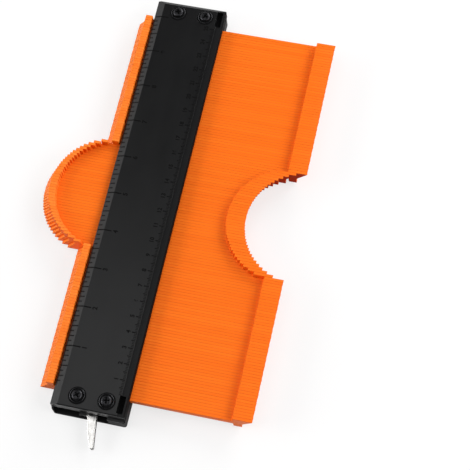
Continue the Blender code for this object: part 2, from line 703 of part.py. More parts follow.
def build():
    clear_scene()
    black = material("black_plastic", (0.022, 0.022, 0.024), 0.42)
    orange = material("orange_plastic", (0.95, 0.19, 0.02), 0.4)
    rubber = material("black_rubber", (0.03, 0.03, 0.03), 0.85)
    grey = material("grey_plastic", (0.2, 0.2, 0.21), 0.5)
    steel = material("bright_steel", (0.72, 0.72, 0.74), 0.25, 1.0)
    dark_steel = material("dark_steel", (0.03, 0.03, 0.033), 0.35, 0.9)
    make_front_shell(black)
    make_rear_shell(black)
    make_pads(rubber)
    make_clamp_plate(grey)
    make_lock_bar(steel)
    make_return_spring(steel)
    make_lever(steel)
    make_pivot_pin(steel)
    for number, (x, y) in enumerate(screw_places(), start=1):
        make_washer(number, x, y, dark_steel)
        make_screw(number, x, y, dark_steel)
    for block in range(FIN_COUNT // FINS_PER_BLOCK):
        make_fin_block(block, orange)


build()
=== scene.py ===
import math

import bmesh
import bpy
from mathutils import Matrix, Vector


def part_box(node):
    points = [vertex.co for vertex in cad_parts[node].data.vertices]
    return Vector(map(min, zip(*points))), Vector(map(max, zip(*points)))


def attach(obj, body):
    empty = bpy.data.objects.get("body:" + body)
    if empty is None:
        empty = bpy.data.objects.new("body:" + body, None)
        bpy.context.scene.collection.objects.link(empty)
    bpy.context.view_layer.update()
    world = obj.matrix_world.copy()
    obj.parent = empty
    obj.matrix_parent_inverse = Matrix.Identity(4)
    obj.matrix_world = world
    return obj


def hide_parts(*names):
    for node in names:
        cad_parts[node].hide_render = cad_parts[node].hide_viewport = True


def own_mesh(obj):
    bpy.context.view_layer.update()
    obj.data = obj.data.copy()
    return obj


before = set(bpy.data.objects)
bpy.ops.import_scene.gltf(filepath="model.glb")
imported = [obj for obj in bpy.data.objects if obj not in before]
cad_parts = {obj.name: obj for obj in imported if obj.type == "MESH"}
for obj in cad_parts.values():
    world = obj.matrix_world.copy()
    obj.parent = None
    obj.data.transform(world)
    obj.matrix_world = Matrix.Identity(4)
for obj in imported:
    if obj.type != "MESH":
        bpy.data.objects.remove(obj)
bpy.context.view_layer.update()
MM = 0.001

# sizes shared with the CAD model: lengths in millimetres, angles in radians
PITCH = 1.81
FINS = 140
PER_BLOCK = 4
STACK_FAR = -127.75
HALF_WIDTH = 22.8
TOP = 17.0
BEVEL_WIDTH = 4.9
BEVEL_DROP = 2.5
STEP_EDGE = 18.5
TIP_TOP = 16.0
TIP_BOTTOM = 1.0
SLOPE_HEIGHT = 9.1
WEB_TOP = 11.2
WEB_BOTTOM = 5.8
CHANNEL_ROOF = 11.5
LEFT_OUTER = -34.6
LEFT_STEP = -28.3
LEFT_INNER = -23.9
RIGHT_OUTER = 97.6
RIGHT_STEP = 90.5
RIGHT_INNER = 85.3
COPIED_RADIUS = 37.0
COPIED_FAR_RADIUS = 36.0
COPIED_DEPTH = 31.0
COPIED_CENTRE = -0.45
SLACK = 0.04
PIVOT = (136.25, 1.6)
LEVER_BOTTOM = 3.4
LEVER_TOP = 7.4
LEVER_REST_ANGLE = math.radians(14)
CAM_SWING = math.radians(104)
CAM_BASE_RADIUS = 3.2
CAM_RISE = 3.0
PIVOT_BORE = 1.35
POCKETS = ((-137.75, -126.95), (125.15, 135.95))

# sizes of the surface work, in millimetres
FIN_EDGE = 0.13
FIN_GAP = 0.01
NOTCH_MARGIN = 4.0
FLANK_START = 30.0
FLANK_END = 50.0
FRONT_EDGE = 0.13
REAR_EDGE = 0.16
LEVER_EDGE = 0.3
COVER_BOTTOM = 8.8
COVER_TOP = 9.8
COVER_EDGE = 0.15
CROSS_TOP = (4.6, 1.15)
CROSS_BOTTOM = (1.8, 0.7)
CROSS_DEPTH = 1.35
CROSS_TURNS = (20, 65, 40, 10)
INCH = 25.4
INCHES = 10
INCH_ZERO = 126.25
INCH_LINE_START = 0.6
INCH_LINE_WIDTH = 0.6
PART_LINE_WIDTH = 0.5
HALF_INCH_END = 0.15
QUARTER_INCH_END = 1.2
EIGHTH_END = 2.1
INCH_TAIL_GAP = 0.2
INCH_TAIL = 4.4
CENTIMETRES = 25
CM_ZERO = 125.65
CM_LINE_GAP = 0.5
CM_MARK = (3.0, 0.5)
HALF_CM_MARK = (2.2, 0.4)
MM_MARK = (1.4, 0.24)
MARK_HEIGHT = 0.1
MARK_SLOPE = 0.1
MARK_FOOT = -0.02
CM_NUMBER_SIZE = 3.6
CM_NUMBER_Y = STEP_EDGE - 5.7
INCH_NUMBER_SIZE = 4.0
INCH_NUMBER_Y = -10.6
NUMBER_LIFT = 0.02

# the stage, in metres, watts and degrees
FLOOR_SIZE = 4.0
FLOOR_LEVEL = -0.0004
FLOOR_SEEN = 0.92
FLOOR_BOUNCE = 0.7
FLOOR_GLOW = 0.7
WORLD_STRENGTH = 0.12
# each lamp's name, place, target, width, height and power
LAMPS = (
    ("overhead", (0.2, -0.26, 1.25), (0.2, -0.26, 0), 1.15, 0.7, 3.4),
    ("far_side", (-1.15, 0.65, 0.65), (0, 0.03, 0), 1.0, 0.8, 15),
    ("right_side", (0.1, 1.2, 0.9), (0, 0.03, 0), 1.2, 0.8, 13),
    ("left_side", (-0.3, -1.25, 0.65), (0, 0.03, 0), 1.7, 0.8, 7),
    ("left_corner", (0.45, -1.35, 0.6), (0, 0.03, 0), 0.9, 0.7, 11),
)
CAMERA_PLACE = (0.33510, 0.18431, 0.87498)
CAMERA_TURN = (21.65374, 3.32551, 102.43917)
CAMERA_ANGLE = 17.67849


# materials
def new_material(name):
    mat = bpy.data.materials.new(name)
    mat.use_nodes = True
    shader = mat.node_tree.nodes["Principled BSDF"]
    return mat, mat.node_tree, shader


def node(tree, kind, **values):
    """A new node with settings such as its operation."""
    made = tree.nodes.new(kind)
    for key, value in values.items():
        setattr(made, key, value)
    return made


def link(tree, source, out, target, into):
    tree.links.new(source.outputs[out], target.inputs[into])


def stretched_coords(tree, scale):
    """The object's own coordinates, each axis times its scale."""
    coords = node(tree, "ShaderNodeTexCoord")
    mapping = node(tree, "ShaderNodeMapping")
    mapping.inputs["Scale"].default_value = scale
    link(tree, coords, "Object", mapping, "Vector")
    return mapping


def noise(tree, coords, scale, detail, roughness=0.55):
    tex = node(tree, "ShaderNodeTexNoise")
    tex.inputs["Scale"].default_value = scale
    tex.inputs["Detail"].default_value = detail
    tex.inputs["Roughness"].default_value = roughness
    link(tree, coords, "Vector", tex, "Vector")
    return tex


def ramp(tree, source, out, stops):
    made = node(tree, "ShaderNodeValToRGB")
    elements = made.color_ramp.elements
    elements[0].position, elements[0].color = stops[0]
    elements[1].position, elements[1].color = stops[-1]
    for position, colour in stops[1:-1]:
        extra = elements.new(position)
        extra.color = colour
    link(tree, source, out, made, "Fac")
    return made


def grey(value):
    return (value, value, value, 1.0)


def bump(tree, shader, sources, strength, distance):
    """Chain of bumps from one or more height textures."""
    last = None
    for height, share in sources:
        made = node(tree, "ShaderNodeBump")
        made.inputs["Strength"].default_value = strength * share
        made.inputs["Distance"].default_value = distance
        link(tree, height, "Fac", made, "Height")
        if last is not None:
            link(tree, last, "Normal", made, "Normal")
        last = made
    link(tree, last, "Normal", shader, "Normal")


def paint(tree, shader, texture, stops):
    """Colour a shader by the height of a texture."""
    colour = ramp(tree, texture, "Fac", stops)
    link(tree, colour, "Color", shader, "Base Color")


def roughen(tree, shader, texture, low, high, start=0.3, stop=0.7):
    """Run a shader's roughness from low to high with the height of a texture."""
    rough = ramp(tree, texture, "Fac", [(start, grey(low)), (stop, grey(high))])
    link(tree, rough, "Color", shader, "Roughness")


def multiply(tree, first, second):
    """The product of two colour sockets."""
    mix = node(tree, "ShaderNodeMix", data_type="RGBA", blend_type="MULTIPLY")
    mix.inputs["Factor"].default_value = 1.0
    tree.links.new(first, mix.inputs[6])
    tree.links.new(second, mix.inputs[7])
    return mix.outputs[2]


def black_plastic(name, low, high, gloss):
    """Black moulded plastic. Its roughness runs from low to high."""
    mat, tree, shader = new_material(name)
    coords = stretched_coords(tree, (1, 1, 1))
    dark = (0.0042, 0.0043, 0.0046, 1)
    light = (0.0062, 0.0063, 0.0067, 1)
    paint(tree, shader, noise(tree, coords, 18, 4), [(0.3, dark), (0.7, light)])
    smear = noise(tree, stretched_coords(tree, (0.4, 1.6, 1.0)), 60, 5, 0.6)
    roughen(tree, shader, smear, low, high, 0.25, 0.75)
    shader.inputs["Specular IOR Level"].default_value = gloss
    grain = noise(tree, coords, 5200, 2)
    waves = noise(tree, coords, 700, 2)
    bump(tree, shader, [(grain, 0.6), (waves, 0.35)], 0.35, 0.00002)
    return mat


def mark_ink():
    """The dull black of the scale marks, also painted shade on the shell's side walls."""
    mat, tree, shader = new_material("scale_ink_and_wall_shade")
    coords = stretched_coords(tree, (1, 1, 1))
    paint(tree, shader, noise(tree, coords, 900, 2), [(0.35, grey(0.0015)), (0.7, grey(0.0025))])
    roughen(tree, shader, noise(tree, coords, 2500, 2), 0.68, 0.8)
    shader.inputs["Specular IOR Level"].default_value = 0.1
    return mat


def orange_plastic(name, dark, middle, light, flank_shade=None):
    """Fins that differ a touch from each other, with fine lines along them and painted shade along each
    edge, between the fins.

    A colour of painted shade for the flank, where there is one, takes over on the right half of the fins,
    past the body.
    """
    mat, tree, shader = new_material(name)
    coords = node(tree, "ShaderNodeTexCoord")
    split = node(tree, "ShaderNodeSeparateXYZ")
    link(tree, coords, "Object", split, "Vector")
    shifted = node(tree, "ShaderNodeMath", operation="ADD")
    shifted.inputs[1].default_value = -STACK_FAR * MM
    link(tree, split, "X", shifted, 0)
    count = node(tree, "ShaderNodeMath", operation="DIVIDE")
    count.inputs[1].default_value = PITCH * MM
    link(tree, shifted, "Value", count, 0)
    whole = node(tree, "ShaderNodeMath", operation="FLOOR")
    link(tree, count, "Value", whole, 0)
    pick = node(tree, "ShaderNodeTexWhiteNoise", noise_dimensions="1D")
    link(tree, whole, "Value", pick, "W")
    each = ramp(tree, pick, "Value", [(0.0, dark), (0.5, middle), (1.0, light)])
    streak = noise(tree, stretched_coords(tree, (40, 1, 1)), 55, 4, 0.6)
    drawn = ramp(tree, streak, "Fac", [(0.3, grey(0.93)), (0.65, grey(1.0))])
    tinted = multiply(tree, each.outputs["Color"], drawn.outputs["Color"])
    across = node(tree, "ShaderNodeMath", operation="FRACT")
    link(tree, count, "Value", across, 0)
    pale = grey(1.0)
    crease_shade_tint = (0.78, 0.58, 0.5, 1)
    # shares of the pitch, from one face of a fin to the other, darkened near each face as painted shade
    # between the fins
    stops = [(0.012, pale), (0.03, crease_shade_tint), (0.12, pale), (0.88, pale), (0.97, crease_shade_tint), (0.988, pale)]
    crease_shade = ramp(tree, across, "Value", stops)
    colour = multiply(tree, tinted, crease_shade.outputs["Color"])
    # painted shade: past the body the flank colour darkens the fins, with little gloss
    if flank_shade is not None:
        reach = node(tree, "ShaderNodeMapRange")
        reach.inputs["From Min"].default_value = FLANK_START * MM
        reach.inputs["From Max"].default_value = FLANK_END * MM
        link(tree, split, "Y", reach, "Value")
        flank_shade_mix = node(tree, "ShaderNodeMix", data_type="RGBA")
        link(tree, reach, "Result", flank_shade_mix, "Factor")
        tree.links.new(colour, flank_shade_mix.inputs[6])
        flank_shade_mix.inputs[7].default_value = flank_shade
        colour = flank_shade_mix.outputs[2]
    tree.links.new(colour, shader.inputs["Base Color"])
    roughen(tree, shader, noise(tree, stretched_coords(tree, (12, 1, 1)), 90, 4), 0.42, 0.54)
    shader.inputs["Specular IOR Level"].default_value = 0.16 if flank_shade is None else 0.03
    grain = noise(tree, stretched_coords(tree, (1, 1, 1)), 4200, 2)
    bump(tree, shader, [(streak, 0.5), (grain, 0.4)], 0.3, 0.00003)
    return mat


def metal(name, light, dark, low, high, stretch):
    """Metal with a grain, fine across the axes whose stretch is large.

    Its colour runs from dark to light and its roughness from low to high.
    """
    mat, tree, shader = new_material(name)
    shader.inputs["Metallic"].default_value = 1.0
    brushed = noise(tree, stretched_coords(tree, stretch), 260, 5, 0.65)
    paint(tree, shader, brushed, [(0.3, dark), (0.7, light)])
    wear = noise(tree, stretched_coords(tree, (1, 1, 1)), 420, 4)
    roughen(tree, shader, wear, low, high)
    bump(tree, shader, [(brushed, 1.0)], 0.25, 0.00002)
    return mat


def plain_noise(name, light, dark, low, high, scale, depth):
    """A plain material with a fine grain, for the rubber and the grey plastic."""
    mat, tree, shader = new_material(name)
    coords = stretched_coords(tree, (1, 1, 1))
    tone = noise(tree, coords, scale, 4)
    paint(tree, shader, tone, [(0.3, dark), (0.7, light)])
    roughen(tree, shader, tone, low, high)
    grain = noise(tree, coords, scale * 12, 3)
    bump(tree, shader, [(grain, 1.0)], 0.4, depth)
    return mat


BLACK = black_plastic("black_plastic_moulded", low=0.27, high=0.35, gloss=0.32)
STEP_BLACK = black_plastic("black_plastic_step", low=0.4, high=0.5, gloss=0.18)
# painted shade: a dull black for the screws' crosses, the washers' grooves and the step's pockets
DULL_SHADE_BLACK = black_plastic("black_plastic_dull_shade", low=0.75, high=0.9, gloss=0.08)
REAR_BLACK = black_plastic("black_plastic_rear", low=0.42, high=0.54, gloss=0.16)
# black ink for the scale marks, also painted shade on the shell's side walls
INK_AND_WALL_SHADE = mark_ink()
ORANGE = orange_plastic(
    "orange_plastic_moulded",
    dark=(0.955, 0.163, 0.0065, 1),
    middle=(0.967, 0.174, 0.0075, 1),
    light=(0.98, 0.184, 0.0085, 1),
)
# a paler orange: painted highlight on the fins' left tips
LIT_TIP_ORANGE = orange_plastic(
    "orange_plastic_lit_tip",
    dark=(0.95, 0.2, 0.018, 1),
    middle=(0.97, 0.22, 0.023, 1),
    light=(0.98, 0.24, 0.028, 1),
)
# orange whose right half turns deep red: painted shade on the notch's flank
FLANK_SHADE_ORANGE = orange_plastic(
    "orange_plastic_flank_shade",
    dark=(0.94, 0.15, 0.003, 1),
    middle=(0.965, 0.165, 0.004, 1),
    light=(0.98, 0.18, 0.005, 1),
    flank_shade=(0.42, 0.03, 0.001, 1),
)
LEVER_METAL = metal(
    "plated_steel",
    light=(0.86, 0.85, 0.83, 1),
    dark=(0.74, 0.73, 0.71, 1),
    low=0.2,
    high=0.34,
    stretch=(1, 30, 1),
)
SHEARED_METAL = metal(
    "sheared_steel",
    light=(0.34, 0.335, 0.325, 1),
    dark=(0.2, 0.198, 0.19, 1),
    low=0.38,
    high=0.55,
    stretch=(1, 1, 30),
)
INNER_METAL = metal(
    "spring_steel",
    light=(0.6, 0.6, 0.61, 1),
    dark=(0.48, 0.48, 0.49, 1),
    low=0.26,
    high=0.42,
    stretch=(30, 1, 1),
)
SCREW_METAL = metal(
    "black_oxide_steel",
    light=(0.04, 0.04, 0.043, 1),
    dark=(0.024, 0.024, 0.026, 1),
    low=0.32,
    high=0.44,
    stretch=(1, 1, 1),
)
WASHER_METAL = metal(
    "black_oxide_washer",
    light=(0.045, 0.045, 0.048, 1),
    dark=(0.032, 0.032, 0.034, 1),
    low=0.3,
    high=0.42,
    stretch=(1, 1, 1),
)
RUBBER = plain_noise(
    "black_rubber_strip",
    light=(0.035, 0.035, 0.035, 1),
    dark=(0.024, 0.024, 0.024, 1),
    low=0.75,
    high=0.92,
    scale=300,
    depth=0.00004,
)
GREY = plain_noise(
    "grey_plastic_moulded",
    light=(0.22, 0.22, 0.23, 1),
    dark=(0.18, 0.18, 0.19, 1),
    low=0.42,
    high=0.56,
    scale=240,
    depth=0.00002,
)


# mesh helpers
def new_object(name, data):
    made = bpy.data.objects.new(name, data)
    bpy.context.scene.collection.objects.link(made)
    return made


def shade(mesh, sharp):
    """Smooth shading, apart from edges sharper than an angle in degrees."""
    mesh.shade_smooth()
    mesh.set_sharp_from_angle(angle=math.radians(sharp))


def add(name, mesh, mat, body, sharp=30):
    """A piece of the object, which rides a body and has a material."""
    made = new_object(name, mesh)
    mesh.materials.clear()
    mesh.materials.append(mat)
    if sharp is not None:
        shade(mesh, sharp)
    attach(made, body)
    return made


def to_mesh(name, shape):
    """Turn a bmesh into a mesh, with its faces pointing outwards."""
    bmesh.ops.recalc_face_normals(shape, faces=shape.faces)
    mesh = bpy.data.meshes.new(name)
    shape.to_mesh(mesh)
    shape.free()
    return mesh


def rounded(corners, steps=3):
    """Replace each corner (a, b, radius) by a short curve."""
    points = []
    count = len(corners)
    for index, (a, b, radius) in enumerate(corners):
        here = Vector((a, b))
        before = Vector(corners[index - 1][:2])
        after = Vector(corners[(index + 1) % count][:2])
        back = before - here
        ahead = after - here
        if radius <= 0:
            points.append(here)
            continue
        turn = back.angle(ahead)
        reach = min(radius / math.tan(turn / 2), 0.45 * back.length, 0.45 * ahead.length)
        start = here + back.normalized() * reach
        end = here + ahead.normalized() * reach
        for step in range(steps + 1):
            t = step / steps
            points.append(start * (1 - t) ** 2 + here * 2 * t * (1 - t) + end * t * t)
    return points


def inset(points, amount):
    """Move each point inwards, whichever way the outline runs."""
    area = sum(a.x * b.y - b.x * a.y for a, b in zip(points, points[1:] + points[:1]))
    side = 1 if area > 0 else -1
    moved = []
    for index, here in enumerate(points):
        before = (here - points[index - 1]).normalized()
        after = (points[(index + 1) % len(points)] - here).normalized()
        normal = Vector((-before.y - after.y, before.x + after.x)) * side
        normal.normalize()
        share = max(0.4, normal.dot(Vector((-before.y, before.x)) * side))
        moved.append(here + normal * amount / share)
    return moved


def lying(a, b, level):
    """A plate's corners when its thickness is along Z."""
    return (a, b, level)


def on_edge(a, b, level):
    """A plate's corners when its thickness is along X."""
    return (level, a, b)


def slab(points, low, high, edge, place, steps=1):
    """A plate with the given outline. Its two rims are chamfered, or rounded where it has more steps."""
    shape = bmesh.new()
    levels = []
    for step in range(steps + 1):
        angle = math.pi / 2 * step / steps
        outline = inset(points, edge * (1 - math.sin(angle)))
        levels.append((outline, low + edge * (1 - math.cos(angle))))
    levels += [(outline, low + high - level) for outline, level in reversed(levels)]
    rings = [[shape.verts.new(place(p.x, p.y, level)) for p in outline] for outline, level in levels]
    for ring, following in zip(rings, rings[1:]):
        for index in range(len(points)):
            after = (index + 1) % len(points)
            shape.faces.new((ring[index], ring[after], following[after], following[index]))
    shape.faces.new(rings[0])
    shape.faces.new(rings[-1])
    return shape


def turned(profile, x, y, sides):
    """Spin radius and height pairs about an upright axis. Radius 0 closes the end."""
    shape = bmesh.new()
    rings = []
    for radius, z in profile:
        if radius == 0:
            rings.append([shape.verts.new((x * MM, y * MM, z * MM))])
            continue
        ring = []
        for side in range(sides):
            angle = 2 * math.pi * side / sides
            across = x + radius * math.cos(angle)
            along = y + radius * math.sin(angle)
            ring.append(shape.verts.new((across * MM, along * MM, z * MM)))
        rings.append(ring)
    for ring, following in zip(rings, rings[1:]):
        for side in range(sides):
            after = (side + 1) % sides
            if len(ring) == 1:
                shape.faces.new((ring[0], following[after], following[side]))
            elif len(following) == 1:
                shape.faces.new((ring[side], ring[after], following[0]))
            else:
                shape.faces.new((ring[side], ring[after], following[after], following[side]))
    return shape


def applied(thing):
    """The mesh that an object's modifiers make."""
    bpy.context.view_layer.update()
    graph = bpy.context.evaluated_depsgraph_get()
    return bpy.data.meshes.new_from_object(thing.evaluated_get(graph))


def cut(target, tools):
    """Cut meshes from an object with exact Booleans."""
    for shape in tools:
        tool = new_object("cutter", to_mesh("cutter", shape))
        change = target.modifiers.new("cut", "BOOLEAN")
        change.object = tool
        change.operation = "DIFFERENCE"
        change.solver = "EXACT"
        fresh = applied(target)
        target.modifiers.remove(change)
        target.data = fresh
        bpy.data.objects.remove(tool, do_unlink=True)


def broken_edges(node_name, name, width, mat, body):
    """A copy of a CAD node with its hard edges rounded, which stands for the node."""
    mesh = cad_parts[node_name].data.copy()
    shape = bmesh.new()
    shape.from_mesh(mesh)
    bmesh.ops.remove_doubles(shape, verts=shape.verts, dist=0.000002)
    bmesh.ops.dissolve_limit(shape, angle_limit=math.radians(1.0), verts=shape.verts, edges=shape.edges)
    shape.to_mesh(mesh)
    shape.free()
    mesh.shade_smooth()
    made = new_object(name, mesh)
    soften = made.modifiers.new("soften", "BEVEL")
    soften.width = width * MM
    soften.segments = 2
    soften.limit_method = "ANGLE"
    soften.angle_limit = math.radians(25)
    soften.use_clamp_overlap = False
    even = made.modifiers.new("even", "WEIGHTED_NORMAL")
    even.mode = "FACE_AREA"
    even.weight = 100
    even.keep_sharp = True
    fresh = applied(made)
    bpy.data.objects.remove(made, do_unlink=True)
    piece = add(name, fresh, mat, body, sharp=None)
    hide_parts(node_name)
    return piece


def join(target, shape):
    """Add a bmesh to an object's mesh."""
    both = bmesh.new()
    both.from_mesh(target.data)
    extra = to_mesh("extra", shape)
    both.from_mesh(extra)
    both.to_mesh(target.data)
    both.free()


# fins
def fin_corners(offset):
    """Outline of a fin from its side. The left tip is longest at its foot, the right tip at its top."""
    corners = [
        (LEFT_STEP, TIP_TOP, 0.3),
        (LEFT_STEP, TIP_BOTTOM + SLOPE_HEIGHT, 1.0),
        (LEFT_OUTER, TIP_BOTTOM, 0.3),
        (LEFT_INNER, TIP_BOTTOM, 0.35),
        (LEFT_INNER, WEB_BOTTOM, 0.18),
        (RIGHT_INNER, WEB_BOTTOM, 0.7),
        (RIGHT_INNER, TIP_BOTTOM, 0.35),
        (RIGHT_STEP, TIP_BOTTOM, 0.4),
        (RIGHT_STEP, TIP_TOP - SLOPE_HEIGHT, 1.2),
        (RIGHT_OUTER, TIP_TOP, 0.3),
        (RIGHT_INNER, TIP_TOP, 0.35),
        (RIGHT_INNER, WEB_TOP, 1.3),
        (LEFT_INNER, WEB_TOP, 0.18),
        (LEFT_INNER, TIP_TOP, 0.35),
    ]
    return [(y - offset, z, radius) for y, z, radius in corners]


def copied_offset(fin):
    """How far a fin is pushed to the left by the round object, with its own small step of slack."""
    middle = STACK_FAR + (fin + 0.5) * PITCH - COPIED_CENTRE
    radius = COPIED_FAR_RADIUS if middle < 0 else COPIED_RADIUS
    pressed = 0.0
    if abs(middle) < radius:
        pressed = max(0.0, math.sqrt(radius**2 - middle**2) - (radius - COPIED_DEPTH))
    return pressed + SLACK * (7 * fin % 5)


def make_fins():
    """Each fin on its own, its left tip paler as a painted highlight, and its side faces by the notch's
    flank deeper as painted shade.
    """
    for fin in range(FINS):
        block = f"fin_block_{fin // PER_BLOCK + 1:02d}"
        points = [p * MM for p in rounded(fin_corners(copied_offset(fin)))]
        low = (STACK_FAR + fin * PITCH + FIN_GAP) * MM
        high = (STACK_FAR + (fin + 1) * PITCH - FIN_GAP) * MM
        shape = slab(points, low, high, FIN_EDGE * MM, on_edge)
        name = f"fin_{fin + 1:03d}"
        piece = add(name, to_mesh(name, shape), ORANGE, block)
        piece.data.materials.append(LIT_TIP_ORANGE)
        piece.data.materials.append(FLANK_SHADE_ORANGE)
        # painted shade goes on the side faces of the fins beside the notch's far flank
        in_notch_shade = -COPIED_RADIUS - NOTCH_MARGIN < STACK_FAR + fin * PITCH < 0
        for face in piece.data.polygons:
            if abs(face.normal.x) > 0.9:
                face.material_index = 2 if in_notch_shade else 0
            # painted highlight: the left tip's tops, slopes and ends take the paler orange
            elif face.center.y / MM + copied_offset(fin) < LEFT_INNER:
                face.material_index = 1
        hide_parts(block)


# scales
def plate_height(y):
    """Height of the ruler face: flat in the middle, sloping down over the bevel on the left."""
    edge = BEVEL_WIDTH - HALF_WIDTH
    if y < edge:
        return TOP - BEVEL_DROP * (edge - y) / BEVEL_WIDTH
    return TOP


def mark(shape, x, y, wide, long):
    """A raised line with sloping sides on the ruler face."""
    corners = []
    for grow, rise in ((MARK_SLOPE, MARK_FOOT), (0.0, MARK_HEIGHT)):
        half_x = wide / 2 + grow
        half_y = long / 2 + grow
        for side, end in ((-1, -1), (1, -1), (1, 1), (-1, 1)):
            across = x + side * half_x
            along = y + end * half_y
            up = plate_height(along) + rise
            corners.append(shape.verts.new((across * MM, along * MM, up * MM)))
    lower, upper = corners[:4], corners[4:]
    shape.faces.new(lower[::-1])
    shape.faces.new(upper)
    for index in range(4):
        after = (index + 1) % 4
        shape.faces.new((lower[index], lower[after], upper[after], upper[index]))


def make_inch_scale():
    """A line at each eighth of an inch on the bevel. Whole inches go on over the flat face."""
    shape = bmesh.new()
    edge = BEVEL_WIDTH - HALF_WIDTH
    for eighth in range(1, 8 * INCHES + 1):
        x = INCH_ZERO - eighth * INCH / 8
        inch = eighth % 8 == 0
        start = -HALF_WIDTH + INCH_LINE_START
        if eighth % 4 == 0:
            end = edge - HALF_INCH_END
        elif eighth % 2 == 0:
            end = edge - QUARTER_INCH_END
        else:
            end = edge - EIGHTH_END
        wide = INCH_LINE_WIDTH if inch else PART_LINE_WIDTH
        mark(shape, x, (start + end) / 2, wide, end - start)
        if inch:
            middle = edge + INCH_TAIL_GAP + INCH_TAIL / 2
            mark(shape, x, middle, INCH_LINE_WIDTH, INCH_TAIL)
    add("inch_scale", to_mesh("inch_scale", shape), INK_AND_WALL_SHADE, "case")


def make_cm_scale():
    """A line at each millimetre along the edge of the sunk step."""
    shape = bmesh.new()
    for mm in range(1, 10 * CENTIMETRES + 1):
        long, wide = CM_MARK if mm % 10 == 0 else (HALF_CM_MARK if mm % 5 == 0 else MM_MARK)
        mark(shape, CM_ZERO - mm, STEP_EDGE - CM_LINE_GAP - long / 2, wide, long)
    add("centimetre_scale", to_mesh("centimetre_scale", shape), INK_AND_WALL_SHADE, "case")


def make_number(number, x, y, size):
    """A raised number whose foot points to +Y."""
    curve = bpy.data.curves.new("digits", "FONT")
    curve.body = str(number)
    curve.size = size * MM
    curve.extrude = 0.05 * MM
    curve.offset = 0.12 * MM
    curve.align_x = "CENTER"
    curve.align_y = "CENTER"
    made = new_object("digits", curve)
    made.location = (x * MM, y * MM, (TOP + NUMBER_LIFT) * MM)
    made.rotation_euler = (0, 0, math.pi)
    mesh = applied(made)
    mesh.transform(made.matrix_world)
    bpy.data.objects.remove(made, do_unlink=True)
    return mesh


def make_numbers():
    meshes = []
    for cm in range(1, CENTIMETRES + 1):
        meshes.append(make_number(cm, CM_ZERO - 10 * cm, CM_NUMBER_Y, CM_NUMBER_SIZE))
    for inch in range(1, INCHES):
        meshes.append(make_number(inch, INCH_ZERO - INCH * inch, INCH_NUMBER_Y, INCH_NUMBER_SIZE))
    shape = bmesh.new()
    for mesh in meshes:
        shape.from_mesh(mesh)
    add("scale_numbers", to_mesh("scale_numbers", shape), INK_AND_WALL_SHADE, "case")


# hardware
def centre(node_name):
    """Middle, low corner and high corner of a CAD node, in millimetres."""
    low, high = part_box(node_name)
    return (low + high) / 2 / MM, low / MM, high / MM


def make_screw(number):
    """A domed screw with a cross cut in its head, with painted shade on the cross's walls and floor."""
    node_name = f"case_screw_{number}"
    mid, low, high = centre(node_name)
    under = high.z - 1.4
    profile = [
        (0, high.z),
        (1.2, high.z - 0.03),
        (2.1, high.z - 0.14),
        (2.75, high.z - 0.36),
        (3.15, high.z - 0.68),
        (3.36, high.z - 1.05),
        (3.38, under + 0.1),
        (3.28, under),
        (1.18, under),
        (1.18, low.z + 1.2),
        (0, low.z),
    ]
    mesh = to_mesh(f"screw_{number}", turned(profile, mid.x, mid.y, 40))
    screw = add(f"screw_{number}", mesh, SCREW_METAL, "case")
    turn = math.radians(CROSS_TURNS[number - 1])
    tools = []
    for quarter in (0, math.pi / 2):
        wedge = bmesh.new()
        bmesh.ops.create_cube(wedge, size=1.0)
        for vert in wedge.verts:
            top = vert.co.z > 0
            long, wide = CROSS_TOP if top else CROSS_BOTTOM
            vert.co.x *= long * MM
            vert.co.y *= wide * MM
            vert.co.z = (high.z + 0.2 if top else high.z - CROSS_DEPTH) * MM
        spin = Matrix.Rotation(turn + quarter, 3, "Z")
        bmesh.ops.rotate(wedge, verts=wedge.verts, cent=(0, 0, 0), matrix=spin)
        bmesh.ops.translate(wedge, verts=wedge.verts, vec=(mid.x * MM, mid.y * MM, 0))
        tools.append(wedge)
    cut(screw, tools)
    shade(screw.data, 30)
    # painted shade: the cross's walls and floor take the dull black
    screw.data.materials.append(DULL_SHADE_BLACK)
    for face in screw.data.polygons:
        x, y, z = face.center / MM - mid
        steep = abs(face.normal.z) < 0.5 or z + mid.z < high.z - 1.2
        face.material_index = 1 if math.hypot(x, y) < CROSS_TOP[0] / 2 and steep else 0
    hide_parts(node_name)


def make_washer(number):
    """A ring whose flat top stands between an inner and an outer groove, both darkened with painted shade.
    """
    node_name = f"screw_washer_{number}"
    mid, low, high = centre(node_name)
    outer = (high.x - low.x) / 2
    profile = [
        (1.3, high.z - 0.5),
        (4.1, high.z - 0.5),
        (4.2, high.z - 0.08),
        (4.35, high.z),
        (outer - 0.95, high.z),
        (outer - 0.75, high.z - 0.1),
        (outer - 0.65, high.z - 0.6),
        (outer, high.z - 0.6),
        (outer, low.z),
        (1.3, low.z),
        (1.3, high.z - 0.5),
    ]
    shape = turned(profile, mid.x, mid.y, 56)
    bmesh.ops.remove_doubles(shape, verts=shape.verts, dist=0.000001)
    mesh = to_mesh(f"washer_{number}", shape)
    washer = add(f"washer_{number}", mesh, WASHER_METAL, "case")
    # painted shade: the grooves below the top take the dull black
    washer.data.materials.append(DULL_SHADE_BLACK)
    for face in washer.data.polygons:
        face.material_index = 1 if face.center.z / MM < high.z - 0.25 else 0
    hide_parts(node_name)


